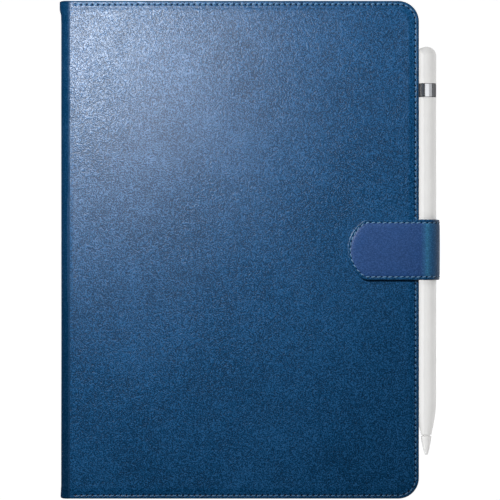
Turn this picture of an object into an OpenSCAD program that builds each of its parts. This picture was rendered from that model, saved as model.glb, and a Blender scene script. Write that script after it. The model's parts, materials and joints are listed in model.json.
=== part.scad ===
// Folio keyboard case for a small tablet, closed and lying on its back cover.
// X runs from the spine (-X) to the free edge (+X), Y runs along the spine, and Z is up.
// The origin is the middle of the back cover's underside.

/* [Cover] */
// Width of the closed case, from the spine to the free edge
cover_w = 154; // [152:1:156]
// Height of the closed case, along the spine
cover_h = 214; // [213:1:218]
// Radius of the two free corners
corner_r = 9; // [6:1:11]
// Outer radius of the spine's rolled edges
spine_r = 4; // [3.5:0.5:4]
// Thickness of the outer leather
skin_t = 0.8; // [0.8:0.1:1]
// Thickness of the stiffening boards
board_t = 1.2; // [1.2:0.1:1.4]
// Thickness of the microfibre lining
lining_t = 0.5; // [0.4:0.1:0.6]
// Distance of the seam from the cover's edge
seam_inset = 1.7; // [1.4:0.1:2]

/* [Tablet tray] */
// Width of the tablet that the tray holds
tablet_w = 135; // [132:1:135]
// Height of the tablet that the tray holds
tablet_h = 203.4; // [200:0.2:203.4]
// Thickness of the tablet that the tray holds
tablet_t = 6.3; // [6:0.1:6.5]
// Thickness of the tray's side walls
tray_wall = 1.8; // [1.4:0.1:2]
// Radius of the camera window
camera_r = 7; // [5:0.5:8]

/* [Stand] */
// Thickness of the folding stand flap
flap_t = 1.6; // [1.6:0.1:1.8]
// Length of the stand flap along the spine
flap_len = 150; // [120:5:160]
// Steepest angle of the tray when it stands
stand_angle = 65; // [45:1:68]

/* [Keyboard] */
// Pitch of the keys along a row
key_pitch = 14.8; // [14.4:0.1:14.8]
// Pitch of the rows
row_pitch = 14.4; // [14:0.1:14.6]
// Pitch of the shallow function row
function_pitch = 10.4; // [10:0.1:11]
// Gap between neighbouring keycaps
key_gap = 2.4; // [2:0.1:3]
// Travel of a key
key_travel = 1.4; // [1:0.1:1.4]

/* [Strap] */
// Width of the closing strap
strap_w = 26; // [22:1:30]
// How far the strap stands out from the free edge
strap_reach = 9.6; // [9.4:0.1:10]
// How far the strap's tongue laps over the front cover
tongue_lap = 31; // [28:1:36]

/* [Stylus] */
// Radius of the stylus barrel
stylus_r = 4.45; // [4.2:0.05:4.45]
// Length of the stylus
stylus_l = 175.8; // [160:0.2:180]

/* [Hidden] */
$fn = 48;

leather = [0.10, 0.26, 0.42];
suede = [0.13, 0.17, 0.24];
card = [0.55, 0.50, 0.42];
thread = [0.16, 0.34, 0.50];
steel = [0.70, 0.70, 0.72];
shell_black = [0.07, 0.07, 0.08];
key_black = [0.12, 0.12, 0.13];
rubber_grey = [0.25, 0.25, 0.26];
board_green = [0.08, 0.30, 0.18];
pen_white = [0.92, 0.92, 0.91];

fit = 0.05;         // clearance of a piece in its pocket
joint_gap = 0.3;    // clearance between leather panels that turn against each other
slack = 0.1;        // clearance between layers that lie on each other
eps = 0.01;         // overlap of a cutter past a face

// Layers, from the underside up
panel_t = skin_t + board_t + lining_t;
flap_z = panel_t + slack;
tray_z = flap_z + flap_t + slack;
tray_floor = 1.3;
pad_t = 0.4;
lip_t = 0.6;
lip_w = 1;
bay_z = tray_z + tray_floor + pad_t;
tray_top = bay_z + tablet_t + slack + lip_t;
lid_gap = 0.4;
kb_z = tray_top + lid_gap;
bezel_t = 1.2;
kb_t = 5.6;
kb_base_t = 1;
front_z = kb_z + kb_t;
closed_t = front_z + panel_t;

// Cover panels
half_w = cover_w / 2;
panel_x = -half_w + spine_r + joint_gap;
edge_wrap = 1;
thread_w = 0.5;
thread_sunk = 0.25;
camera_x = 55.5;
camera_y = 89;

// Tray
bay_gap = 0.3;
bay_w = tablet_w + 2 * bay_gap;
bay_h = tablet_h + 2 * bay_gap;
bay_r = 8.5;
tray_w = bay_w + 2 * tray_wall;
tray_h = bay_h + 2 * tray_wall;
notch_z = bay_z + 0.6;
charge_notch = 16;
button_notch = 24;

// Stand: the tray turns about stand_x, and the flap about the tray's middle
stand_x = -tray_w / 2 - 1;
stand_z = flap_z + flap_t / 2;
flap_w = -stand_x;
strip_t = 0.6;
leaf_w = 13;
magnet_angles = [65, 55, 45];
stand_magnet = [4, 26, 1];

// Keyboard
kb_x0 = -65;
kb_x1 = 69;
kb_len = 203;
kb_r = 5;
kb_wall = 1.5;
screw_inset = 3.2;
post_r = 1.75;
units = 13;
field_x0 = kb_x0 + 5;
field_w = function_pitch + 5 * row_pitch + 1;
field_h = units * key_pitch;
key_r = 1.3;
key_top = kb_z + 0.2;
key_t = 1.5;
key_play = 0.3;
deck_z = kb_z + bezel_t;
deck_t = 0.8;
membrane_t = 0.6;
membrane_z = front_z - kb_base_t - membrane_t;
dome_r = 3;
dome_h = 0.8;
pad_size = [32, 66];
pad_x = kb_x1 - 6 - pad_size[0] / 2;
pad_click = 0.4;
// Widths of the keys in each row, in units of key_pitch
one = [for (i = [1:13]) 1];
rows = [
    one,
    one,
    one,
    concat([1.25], [for (i = [1:10]) 1], [1.75]),
    concat([1.75], [for (i = [1:10]) 1], [1.25]),
    [1, 1, 1, 1.25, 4.5, 1.25, 1, 1, 1]
];
stacked_key = 7;    // the key of the last row that is split into an upper and a lower one

// Strap
strap_t = 1.2;
strap_x = half_w + strap_reach;
tongue_layers = [0.5, 0.8, 0.5];    // lining, core and leather
tongue_z = closed_t + slack;
tongue_top = tongue_z + tongue_layers[0] + tongue_layers[1] + tongue_layers[2];
tongue_hinge_x = half_w + 2;
crest_r = strap_x - tongue_hinge_x - 0.4;
crest_z = tongue_top - crest_r;
root_x = half_w + strap_t / 2 + slack;
root_z = skin_t + strap_t / 2;
root_bend = 6;
magnet_r = 6;
magnet_x = half_w - 19;
anchor_l = 17;

// Stylus
loop_t = 0.5;
loop_len = 22;
pen_x = strap_x - strap_t - loop_t - slack - stylus_r;
pen_z = 12.6;
cap_l = 15.7;
ring_l = 5.9;
tip_l = 8.7;
taper_l = 15.5;
neck_r = 2.6;
pen_top = stylus_l / 2;
pen_end = -stylus_l / 2;

function sum_to(list, n) = n == 0 ? 0 : list[n - 1] + sum_to(list, n - 1);
// Key centre along the spine, counted from the +Y end of its row
function key_y(r, i) = field_h / 2 - (sum_to(rows[r], i) + rows[r][i] / 2) * key_pitch;
function key_x(r) = r == 0
    ? field_x0 + 0.5 + function_pitch / 2
    : field_x0 + 0.5 + function_pitch + (r - 0.5) * row_pitch;
function key_depth(r) = (r == 0 ? function_pitch : row_pitch) - key_gap;
function key_width(r, i) = rows[r][i] * key_pitch - key_gap;

// --- shapes that repeat ---------------------------------------------------

// Rectangle with four round corners, centred
module round_rect(w, h, r) {
    square([w - 2 * r, h], center = true);
    square([w, h - 2 * r], center = true);
    for (sx = [-1, 1], sy = [-1, 1])
        translate([sx * (w / 2 - r), sy * (h / 2 - r)]) circle(r);
}

// Cover panel from x0 to the free edge, shrunk by inset, with its free corners round
module panel_outline(x0, inset) {
    x1 = half_w - inset;
    h = cover_h - 2 * inset;
    r = corner_r - inset;
    translate([x0, -h / 2]) square([x1 - x0 - r, h]);
    translate([x0, -h / 2 + r]) square([x1 - x0, h - 2 * r]);
    for (s = [-1, 1]) translate([x1 - r, s * (h / 2 - r)]) circle(r);
}

// Flat layer of a cover panel between two heights
module panel_layer(z0, z1, x0, inset) {
    translate([0, 0, z0]) linear_extrude(z1 - z0) panel_outline(x0, inset);
}

// Seam line along the three sewn edges of a cover panel
module seam_line(width) {
    difference() {
        panel_outline(panel_x + 0.5, seam_inset - width / 2);
        panel_outline(panel_x - 1, seam_inset + width / 2);
    }
}

// Leather of one cover: a face with its edges turned in around the board. outer_z is the show face
module cover_skin(outer_z, up) {
    low = up ? outer_z - panel_t : outer_z;
    pocket_z = up ? low - eps : low + skin_t;
    groove_z = up ? outer_z - thread_sunk : outer_z - eps;
    difference() {
        panel_layer(low, low + panel_t, panel_x, 0);
        translate([0, 0, pocket_z])
            linear_extrude(board_t + lining_t + eps) panel_outline(panel_x - 1, edge_wrap);
        translate([0, 0, groove_z]) linear_extrude(thread_sunk + eps) seam_line(thread_w);
    }
}

module camera_cut(z0, z1) {
    translate([camera_x, camera_y, z0 - eps]) cylinder(h = z1 - z0 + 2 * eps, r = camera_r);
}

// Part of a flat ring of middle radius r and width t, from angle a0 to a1
module bend(r, t, a0, a1) {
    far = 2 * r;
    intersection() {
        difference() {
            circle(r + t / 2);
            circle(r - t / 2);
        }
        polygon([[0, 0], [far * cos(a0), far * sin(a0)], [far * cos(a1), far * sin(a1)]]);
    }
}

// Outline of the strap's tongue: a flat end with a soft round nose
module tongue_outline(inset) {
    tip = half_w - tongue_lap + inset;
    w = strap_w - 2 * inset;
    nose_r = 8.5 - inset;
    nose_sweep = 22;
    right = tongue_hinge_x - slack;
    intersection() {
        union() {
            translate([tip, -w / 2 + nose_r]) square([right - tip, w - 2 * nose_r]);
            translate([tip + nose_r, -w / 2]) square([right - tip - nose_r, w]);
            for (s = [-1, 1]) translate([tip + nose_r, s * (w / 2 - nose_r)]) circle(nose_r);
        }
        union() {
            translate([tip + nose_sweep, 0]) circle(nose_sweep);
            translate([tip + nose_sweep, -w]) square([right - tip, 2 * w]);
        }
    }
}

// One keycap, or its hole when play is above zero
module key_shape(r, i, play, z0, h) {
    stacked = r == len(rows) - 1 && i == stacked_key;
    depth = stacked ? (key_depth(r) - 1) / 2 : key_depth(r);
    shift = stacked ? (depth + 1) / 2 : 0;
    for (s = stacked ? [-1, 1] : [0])
        translate([key_x(r) + s * shift, key_y(r, i), z0]) linear_extrude(h)
            round_rect(depth + 2 * play, key_width(r, i) + 2 * play, key_r + play);
}

// The keycaps of row r whose numbers are in list
module keycaps(r, list) {
    color(key_black) for (i = list) key_shape(r, i, 0, key_top, key_t);
}

module all_key_holes(z0, h) {
    for (r = [0:len(rows) - 1], i = [0:len(rows[r]) - 1]) key_shape(r, i, key_play, z0, h);
}

module kb_layer(z0, z1, inset) {
    translate([(kb_x0 + kb_x1) / 2, 0, z0]) linear_extrude(z1 - z0)
        round_rect(kb_x1 - kb_x0 - 2 * inset, kb_len - 2 * inset, kb_r - inset);
}

module at_screws() {
    for (x = [kb_x0 + screw_inset, kb_x1 - screw_inset], y = [-1, 0, 1])
        translate([x, y * (kb_len / 2 - screw_inset), 0]) children();
}

// Room for the screw posts in the sheets that lie between them
module post_room() {
    at_screws() translate([0, 0, kb_z]) cylinder(h = kb_t, r = post_r + fit);
}

// --- back cover -----------------------------------------------------------

module back_skin() {
    color(leather) difference() {
        cover_skin(0, false);
        camera_cut(0, panel_t);
        // the strap passes out through the turned edge
        translate([half_w - 2, -strap_w / 2 - fit, skin_t - fit])
            cube([4, strap_w + 2 * fit, strap_t + 2 * fit]);
    }
}

module back_board() {
    color(card) difference() {
        panel_layer(skin_t, skin_t + board_t, panel_x + 1, edge_wrap + fit);
        camera_cut(skin_t, skin_t + board_t);
        translate([half_w - anchor_l - fit, -strap_w / 2 - fit, skin_t - eps])
            cube([anchor_l + 1, strap_w + 2 * fit, board_t + 2 * eps]);
        at_stand_magnets()
            cube([stand_magnet[0] + 2 * fit, stand_magnet[1] + 2 * fit, 2 * board_t], center = true);
    }
}

module back_lining() {
    color(suede) difference() {
        panel_layer(skin_t + board_t, panel_t, panel_x + 0.5, edge_wrap + fit);
        camera_cut(skin_t + board_t, panel_t);
    }
}

module back_stitching() {
    color(thread) linear_extrude(thread_sunk) seam_line(thread_w - 2 * fit);
}

module strap_anchor() {
    color(leather) translate([half_w - anchor_l, -strap_w / 2, skin_t])
        cube([anchor_l - 2 * slack, strap_w, strap_t]);
}

// Three rows of magnets hold the flap's free edge at three viewing angles
module at_stand_magnets() {
    for (a = magnet_angles, s = [-1, 1])
        translate([stand_x + 2 * flap_w * cos(a), s * flap_len / 4, skin_t + board_t / 2]) children();
}

module stand_magnets() {
    color(steel) at_stand_magnets() cube(stand_magnet, center = true);
}

// Lower leaf of the tray's leather hinge, glued to the lining
module tray_hinge_base() {
    color(leather) translate([stand_x + 1.1, -flap_len / 2, panel_t]) cube([leaf_w, flap_len, strip_t]);
}

// --- spine ----------------------------------------------------------------

module spine_skin() {
    inner_r = spine_r - skin_t;
    color(leather) rotate([90, 0, 0]) linear_extrude(cover_h, center = true) {
        for (s = [0, 1]) translate([0, s * closed_t]) mirror([0, s])
            translate([-half_w + spine_r, spine_r]) intersection() {
                difference() {
                    circle(spine_r);
                    circle(inner_r);
                }
                translate([-spine_r, -spine_r]) square(spine_r);
            }
        translate([-half_w, spine_r]) square([skin_t, closed_t - 2 * spine_r]);
    }
}

module spine_board() {
    color(card) translate([-half_w + skin_t, -cover_h / 2 + edge_wrap, spine_r + 0.2])
        cube([board_t, cover_h - 2 * edge_wrap, closed_t - 2 * spine_r - 0.4]);
}

module spine_lining() {
    color(suede) translate([-half_w + skin_t + board_t, -cover_h / 2 + edge_wrap, spine_r + 0.2])
        cube([lining_t, cover_h - 2 * edge_wrap, closed_t - 2 * spine_r - 0.4]);
}

// --- front cover ----------------------------------------------------------

module front_skin() {
    color(leather) cover_skin(closed_t, true);
}

module front_board() {
    color(card) difference() {
        panel_layer(front_z + lining_t, front_z + lining_t + board_t, panel_x + 1, edge_wrap + fit);
        translate([magnet_x, 0, front_z]) cylinder(h = panel_t, r = magnet_r + fit);
    }
}

module front_lining() {
    color(suede) panel_layer(front_z, front_z + lining_t, panel_x + 0.5, edge_wrap + fit);
}

module front_stitching() {
    color(thread) translate([0, 0, closed_t - thread_sunk]) linear_extrude(thread_sunk + 0.05)
        seam_line(thread_w - 2 * fit);
}

module catch_magnet() {
    color(steel) translate([magnet_x, 0, front_z + lining_t]) cylinder(h = board_t, r = magnet_r);
}

// --- keyboard -------------------------------------------------------------

module keyboard_base() {
    color(shell_black) difference() {
        kb_layer(front_z - kb_base_t, front_z, 0.4);
        at_screws() translate([0, 0, front_z - kb_base_t - eps]) {
            cylinder(h = 2 * kb_base_t, r = 0.9);
            translate([0, 0, 0.3 + eps]) cylinder(h = kb_base_t, r = 1.9);
        }
    }
}

module keyboard_frame() {
    color(shell_black) difference() {
        union() {
            difference() {
                kb_layer(kb_z, front_z - kb_base_t, 0);
                kb_layer(deck_z, front_z, kb_wall);
                // key field
                translate([field_x0, -field_h / 2, kb_z - eps]) cube([field_w, field_h, kb_t]);
            }
            at_screws() translate([0, 0, deck_z - eps])
                cylinder(h = front_z - kb_base_t - deck_z + eps, r = post_r);
        }
        at_screws() translate([0, 0, deck_z + 0.4]) cylinder(h = kb_t, r = 0.85);
        // touchpad opening
        translate([pad_x, 0, kb_z - eps]) linear_extrude(kb_t)
            round_rect(pad_size[0] + 0.6, pad_size[1] + 0.6, 2.3);
        // socket and switch openings in the +Y side
        translate([socket_x() - 4.6, kb_len / 2 - 3, socket_z()]) cube([9.2, 5, 3.1]);
        translate([switch_x() - 4.6, kb_len / 2 - 2.5, switch_z() - 0.9]) cube([9.2, 5, 1.8]);
        at_lights() translate([0, 0, kb_z - eps]) cylinder(h = bezel_t + 2 * eps, r = 0.85);
        at_bumpers() translate([0, 0, kb_z + bumper_sunk()]) mirror([0, 0, 1])
            cylinder(h = 2, r = 3 + fit);
    }
}

// The pockets of the screen bumpers are this deep
function bumper_sunk() = 0.5;

module at_bumpers() {
    for (s = [-1, 1]) translate([kb_x1 - 5, s * (kb_len / 2 - 12), 0]) children();
}

module screen_bumpers() {
    color(rubber_grey) at_bumpers() translate([0, 0, kb_z - 0.3])
        cylinder(h = 0.3 + bumper_sunk(), r = 3);
}

module key_deck() {
    color(shell_black) difference() {
        translate([field_x0 - 1.5, -field_h / 2 - 1.5, deck_z])
            cube([field_w + 3, field_h + 3, deck_t]);
        all_key_holes(deck_z - eps, deck_t + 2 * eps);
        post_room();
    }
}

// Contact sheet with one rubber dome under each key
module key_membrane() {
    color(rubber_grey) {
        difference() {
            translate([field_x0 - 1, -field_h / 2 - 1, membrane_z])
                cube([field_w + 2, field_h + 2, membrane_t]);
            post_room();
        }
        for (r = [0:len(rows) - 1], i = [0:len(rows[r]) - 1])
            if (!(r == len(rows) - 1 && i == stacked_key))
                translate([key_x(r), key_y(r, i), membrane_z - dome_h])
                    cylinder(h = dome_h + eps, r = dome_r);
    }
}

module battery() {
    color(steel) for (s = [-1, 1])
        translate([pad_x - 16, s * 67 - 26, deck_z + 0.4]) cube([34, 52, 2.6]);
}

module circuit_board() {
    color(board_green) translate([pad_x - 17, -37, membrane_z - 0.4]) cube([32, 74, 0.9]);
}

function socket_x() = pad_x + 12;
function socket_z() = deck_z + 0.1;
function switch_x() = pad_x - 2;
function switch_z() = deck_z + 1.6;

// Open metal shell of the charging socket, with its mouth in the keyboard's +Y side
module charge_socket() {
    color(steel) translate([socket_x(), kb_len / 2 - 3, socket_z() + 0.1]) difference() {
        translate([-4.4, -4, 0]) cube([8.8, 6.8, 2.9]);
        translate([-4, -3.5, 0.4]) cube([8, 7, 2.1]);
    }
}

module at_lights() {
    for (k = [0:2]) translate([kb_x0 + 2.5, -kb_len / 2 + 14 + 6 * k, 0]) children();
}

module status_lights() {
    color([0.75, 0.9, 0.8]) at_lights() translate([0, 0, kb_z]) cylinder(h = bezel_t, r = 0.8);
}

module housing_screws() {
    color(steel) at_screws() {
        translate([0, 0, deck_z + 0.8]) cylinder(h = front_z - kb_base_t - deck_z - 0.5, r = 0.8);
        translate([0, 0, front_z - 0.7]) cylinder(h = 0.6, r = 1.8);
    }
}

module touchpad() {
    color(key_black) translate([pad_x, 0, kb_z + 0.1]) linear_extrude(1)
        round_rect(pad_size[0], pad_size[1], 2);
}

module power_switch() {
    color(key_black) translate([switch_x() - 4, kb_len / 2 - 2.2, switch_z() - 0.8])
        cube([4, 3, 1.6]);
}

module function_keys() { keycaps(0, [0:12]); }
module number_keys() { keycaps(1, [0:11]); }
module backspace_key() { keycaps(1, [12]); }
module tab_key() { keycaps(2, [0]); }
module upper_letter_keys() { keycaps(2, [1:12]); }
module caps_key() { keycaps(3, [0]); }
module home_letter_keys() { keycaps(3, [1:10]); }
module enter_key() { keycaps(3, [11]); }
module left_shift_key() { keycaps(4, [0]); }
module lower_letter_keys() { keycaps(4, [1:10]); }
module right_shift_key() { keycaps(4, [11]); }
module modifier_keys() { keycaps(5, [0, 1, 2, 3, 5]); }
module space_bar() { keycaps(5, [4]); }
module arrow_keys() { keycaps(5, [6, 7, 8]); }

// --- tablet tray ----------------------------------------------------------

module tray_shell() {
    color(shell_black) difference() {
        translate([0, 0, tray_z]) linear_extrude(tray_top - tray_z)
            round_rect(tray_w, tray_h, bay_r + tray_wall);
        // bay, with a lip left over its corners
        translate([0, 0, tray_z + tray_floor]) linear_extrude(tray_top - lip_t - tray_z - tray_floor)
            round_rect(bay_w, bay_h, bay_r);
        translate([0, 0, tray_top - lip_t - eps]) linear_extrude(lip_t + 2 * eps) {
            round_rect(bay_w - 2 * lip_w, bay_h - 2 * lip_w, bay_r - lip_w);
            square([bay_w, bay_h - 70], center = true);
            square([bay_w - 60, bay_h], center = true);
        }
        camera_cut(tray_z, tray_z + tray_floor);
        // notches: charging at the -Y end, a button at the +Y end, volume on the free side
        translate([-charge_notch / 2, -tray_h / 2 - 1, notch_z])
            cube([charge_notch, tray_wall + 2, tray_top]);
        translate([26, tray_h / 2 - tray_wall - 1, notch_z])
            cube([button_notch, tray_wall + 2, tray_top]);
        translate([tray_w / 2 - tray_wall - 1, 52, notch_z])
            cube([tray_wall + 2, button_notch, tray_top]);
    }
}

module tray_pad() {
    color(suede) difference() {
        translate([0, 0, tray_z + tray_floor]) linear_extrude(pad_t)
            round_rect(bay_w - 8, bay_h - 8, bay_r - 4);
        camera_cut(tray_z + tray_floor, bay_z);
    }
}

// Upper leaf of the tray's leather hinge, with the fold's round edge
module tray_hinge_strip() {
    color(leather) rotate([90, 0, 0]) linear_extrude(flap_len, center = true) {
        translate([stand_x, stand_z]) circle(flap_t / 2);
        translate([stand_x, tray_z - strip_t]) square([leaf_w, strip_t]);
    }
}

// Leaf that the stand flap hangs on, glued under the middle of the tray
module flap_hinge_strip() {
    color(leather) translate([-1.1 - leaf_w, -flap_len / 2, tray_z - strip_t])
        cube([leaf_w, flap_len, strip_t]);
}

// --- stand flap -----------------------------------------------------------

// Flap profile from its hinge to its free edge, shrunk by inset, extruded along the spine
module flap_profile(inset, length) {
    r = flap_t / 2 - inset;
    translate([0, 0, stand_z]) rotate([90, 0, 0]) linear_extrude(length, center = true) {
        translate([0, -r]) square([flap_w, 2 * r]);
        for (x = [0, flap_w]) translate([x, 0]) circle(r);
    }
}

module flap_cavity() {
    translate([1, -flap_len / 2 + 1, stand_z - 0.4]) cube([flap_w - 2, flap_len, 0.8]);
}

module flap_covering() {
    color(leather) difference() {
        flap_profile(0, flap_len);
        flap_cavity();
    }
}

module flap_board() {
    color(card) difference() {
        translate([1 + fit, -flap_len / 2 + 1 + fit, stand_z - 0.4])
            cube([flap_w - 2 - 2 * fit, flap_len - 1.5, 0.8]);
        at_flap_magnets() cube([3 + 2 * fit, 30 + 2 * fit, 2], center = true);
    }
}

module at_flap_magnets() {
    for (s = [-1, 1]) translate([flap_w - 3.5, s * flap_len / 4, stand_z]) children();
}

module flap_magnets() {
    color(steel) at_flap_magnets() cube([3, 30, 0.8], center = true);
}

// --- strap ----------------------------------------------------------------

// Leather that leaves the back cover, runs round the stylus and up to the tongue
module strap_side() {
    wall_x = strap_x - strap_t / 2;
    bend_x = wall_x - root_bend;
    bend_z = root_z + bend_x - root_x + root_bend * sqrt(2);
    run = (bend_x - root_x) * sqrt(2) + root_bend;
    seam = 0.04;    // overlap of neighbouring stretches
    color(leather) rotate([90, 0, 0]) linear_extrude(strap_w, center = true) {
        translate([root_x, root_z]) circle(strap_t / 2);
        translate([root_x, root_z]) rotate(45) translate([0, -strap_t / 2]) square([run + seam, strap_t]);
        translate([bend_x, bend_z]) bend(root_bend, strap_t, -45, 0);
        translate([wall_x - strap_t / 2, bend_z - seam]) square([strap_t, crest_z - bend_z + 2 * seam]);
        translate([strap_x - crest_r, crest_z]) bend(crest_r - strap_t / 2, strap_t, 0, 90);
        translate([tongue_hinge_x + slack, tongue_top - strap_t])
            square([strap_x - crest_r - tongue_hinge_x - slack + seam, strap_t]);
    }
}

// Elastic loop sewn inside the strap, which grips the stylus
module stylus_loop() {
    color(suede) difference() {
        union() {
            translate([pen_x, 0, pen_z]) rotate([90, 0, 0])
                cylinder(h = loop_len, r = stylus_r + slack + loop_t, center = true);
            translate([strap_x - strap_t - 0.8, -loop_len / 2, pen_z - 0.3]) cube([0.8, loop_len, 3.4]);
        }
        translate([pen_x, 0, pen_z]) rotate([90, 0, 0])
            cylinder(h = loop_len + 2, r = stylus_r + slack, center = true);
    }
}

module tongue_lining() {
    color(suede) translate([0, 0, tongue_z]) linear_extrude(tongue_layers[0]) tongue_outline(0.3);
}

module tongue_core() {
    color(card) difference() {
        translate([0, 0, tongue_z + tongue_layers[0]]) linear_extrude(tongue_layers[1])
            tongue_outline(0.6);
        translate([magnet_x, 0, tongue_z]) cylinder(h = 4, r = magnet_r + fit);
    }
}

module tongue_magnet() {
    color(steel) translate([magnet_x, 0, tongue_z + tongue_layers[0]])
        cylinder(h = tongue_layers[1], r = magnet_r);
}

module tongue_seam(width) {
    difference() {
        tongue_outline(1.7 - width / 2);
        tongue_outline(1.7 + width / 2);
        translate([tongue_hinge_x - 2.5, -strap_w]) square([5, 2 * strap_w]);
    }
}

module tongue_leather() {
    color(leather) difference() {
        translate([0, 0, tongue_top - tongue_layers[2]]) linear_extrude(tongue_layers[2])
            tongue_outline(0);
        translate([0, 0, tongue_top - thread_sunk]) linear_extrude(1) tongue_seam(thread_w);
    }
}

module tongue_stitching() {
    color(thread) translate([0, 0, tongue_top - thread_sunk]) linear_extrude(thread_sunk + 0.05)
        tongue_seam(thread_w - 2 * fit);
}

// --- stylus ---------------------------------------------------------------

// Lays a solid that is drawn along Z on the stylus axis, with +Z turned to +Y
module along_pen() {
    translate([pen_x, 0, pen_z]) rotate([-90, 0, 0]) children();
}

module stylus_barrel() {
    barrel_top = pen_top - cap_l - ring_l;
    barrel_end = pen_end + tip_l;
    color(pen_white) along_pen() rotate_extrude() polygon(concat(
        [[0, barrel_top], [0, barrel_end], [neck_r - 0.3, barrel_end]],
        // the taper swells evenly from the neck to the full radius
        [for (k = [0:8]) [
            neck_r + (stylus_r - neck_r) * sin(90 * k / 8),
            barrel_end + 0.4 + (taper_l - 0.4) * (k / 8)
        ]],
        [[stylus_r, barrel_top]]
    ));
}

module stylus_ring() {
    color(steel) along_pen() translate([0, 0, pen_top - cap_l - ring_l])
        cylinder(h = ring_l, r = stylus_r - 0.02);
}

module stylus_cap() {
    color(pen_white) along_pen() intersection() {
        translate([0, 0, pen_top - cap_l]) cylinder(h = cap_l, r = stylus_r);
        union() {
            translate([0, 0, pen_top - stylus_r]) sphere(stylus_r);
            translate([0, 0, pen_top - cap_l - 1])
                cylinder(h = cap_l + 1 - stylus_r, r = stylus_r);
        }
    }
}

module stylus_tip() {
    tip_r = 0.7;
    neck_l = 0.9;
    collar_z = pen_end + tip_l - neck_l;
    color(pen_white) along_pen() {
        rotate_extrude() polygon([
            [0, pen_end + tip_l], [1.75, pen_end + tip_l], [1.75, collar_z], [2.3, collar_z],
            [2.3, collar_z - 0.5], [0.66, pen_end + 0.48], [0, pen_end + 0.48]
        ]);
        translate([0, 0, pen_end + tip_r]) sphere(tip_r);
    }
}

// --- one solid or group for each node -------------------------------------

back_skin();
back_board();
back_lining();
back_stitching();
strap_anchor();
stand_magnets();
tray_hinge_base();
spine_skin();
spine_board();
spine_lining();
front_skin();
front_board();
front_lining();
front_stitching();
catch_magnet();
keyboard_base();
keyboard_frame();
key_deck();
key_membrane();
battery();
circuit_board();
charge_socket();
status_lights();
housing_screws();
screen_bumpers();
function_keys();
number_keys();
backspace_key();
tab_key();
upper_letter_keys();
caps_key();
home_letter_keys();
enter_key();
left_shift_key();
lower_letter_keys();
right_shift_key();
modifier_keys();
space_bar();
arrow_keys();
touchpad();
power_switch();
tray_shell();
tray_pad();
tray_hinge_strip();
flap_hinge_strip();
flap_board();
flap_covering();
flap_magnets();
strap_side();
stylus_loop();
tongue_leather();
tongue_core();
tongue_lining();
tongue_magnet();
tongue_stitching();
stylus_barrel();
stylus_ring();
stylus_cap();
stylus_tip();
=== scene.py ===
"""Looks of the closed tablet keyboard case: leather covers, strap, stylus, keyboard, tray and stand.

Lengths are in millimetres, and mm() turns them into Blender's metres. Lights are placed in metres.
"""

import json
from math import atan2, ceil, cos, dist, exp, pi, radians, sin, sqrt

import bmesh
import bpy
import numpy as np
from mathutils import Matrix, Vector

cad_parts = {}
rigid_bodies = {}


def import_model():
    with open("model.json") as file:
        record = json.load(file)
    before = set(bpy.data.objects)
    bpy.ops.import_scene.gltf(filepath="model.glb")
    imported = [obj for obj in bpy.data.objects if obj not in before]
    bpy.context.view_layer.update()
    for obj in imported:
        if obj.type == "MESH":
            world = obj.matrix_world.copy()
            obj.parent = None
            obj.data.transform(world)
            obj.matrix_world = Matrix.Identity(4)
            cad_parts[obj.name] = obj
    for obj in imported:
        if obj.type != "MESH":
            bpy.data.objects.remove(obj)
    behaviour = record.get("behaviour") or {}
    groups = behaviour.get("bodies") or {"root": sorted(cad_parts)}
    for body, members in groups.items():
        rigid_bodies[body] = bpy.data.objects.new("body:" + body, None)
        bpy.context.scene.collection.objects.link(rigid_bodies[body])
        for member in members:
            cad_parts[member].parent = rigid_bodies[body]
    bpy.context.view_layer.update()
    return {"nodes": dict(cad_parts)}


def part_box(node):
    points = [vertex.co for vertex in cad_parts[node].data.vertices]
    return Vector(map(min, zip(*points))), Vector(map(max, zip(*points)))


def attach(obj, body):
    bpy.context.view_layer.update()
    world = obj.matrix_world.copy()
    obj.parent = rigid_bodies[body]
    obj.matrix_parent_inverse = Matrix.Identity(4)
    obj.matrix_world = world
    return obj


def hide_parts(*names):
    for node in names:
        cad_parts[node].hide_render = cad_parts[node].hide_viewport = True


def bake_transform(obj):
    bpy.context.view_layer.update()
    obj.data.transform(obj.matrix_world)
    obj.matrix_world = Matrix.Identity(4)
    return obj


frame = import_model()
scene = bpy.context.scene


def mm(*values):
    """Millimetres to metres, for one number or several."""
    out = tuple(v * 0.001 for v in values)
    return out[0] if len(out) == 1 else out


# ---- sizes read from the frame, in mm
def box_mm(node):
    """Lowest and highest corner of a CAD node."""
    low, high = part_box(node)
    return [v * 1000 for v in low], [v * 1000 for v in high]


FRONT_LOW, (HALF_W, HALF_H, CLOSED_T) = box_mm("front_skin")
PANEL_T = CLOSED_T - FRONT_LOW[2]
(SPINE_X, _, _), (CREASE_X, _, _) = box_mm("spine_skin")
SPINE_R = CREASE_X - SPINE_X
CORNER_R = 9.0
SEAM_INSET = 1.7
STITCH_PITCH = 2.43
SKIN_T = 0.8


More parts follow.
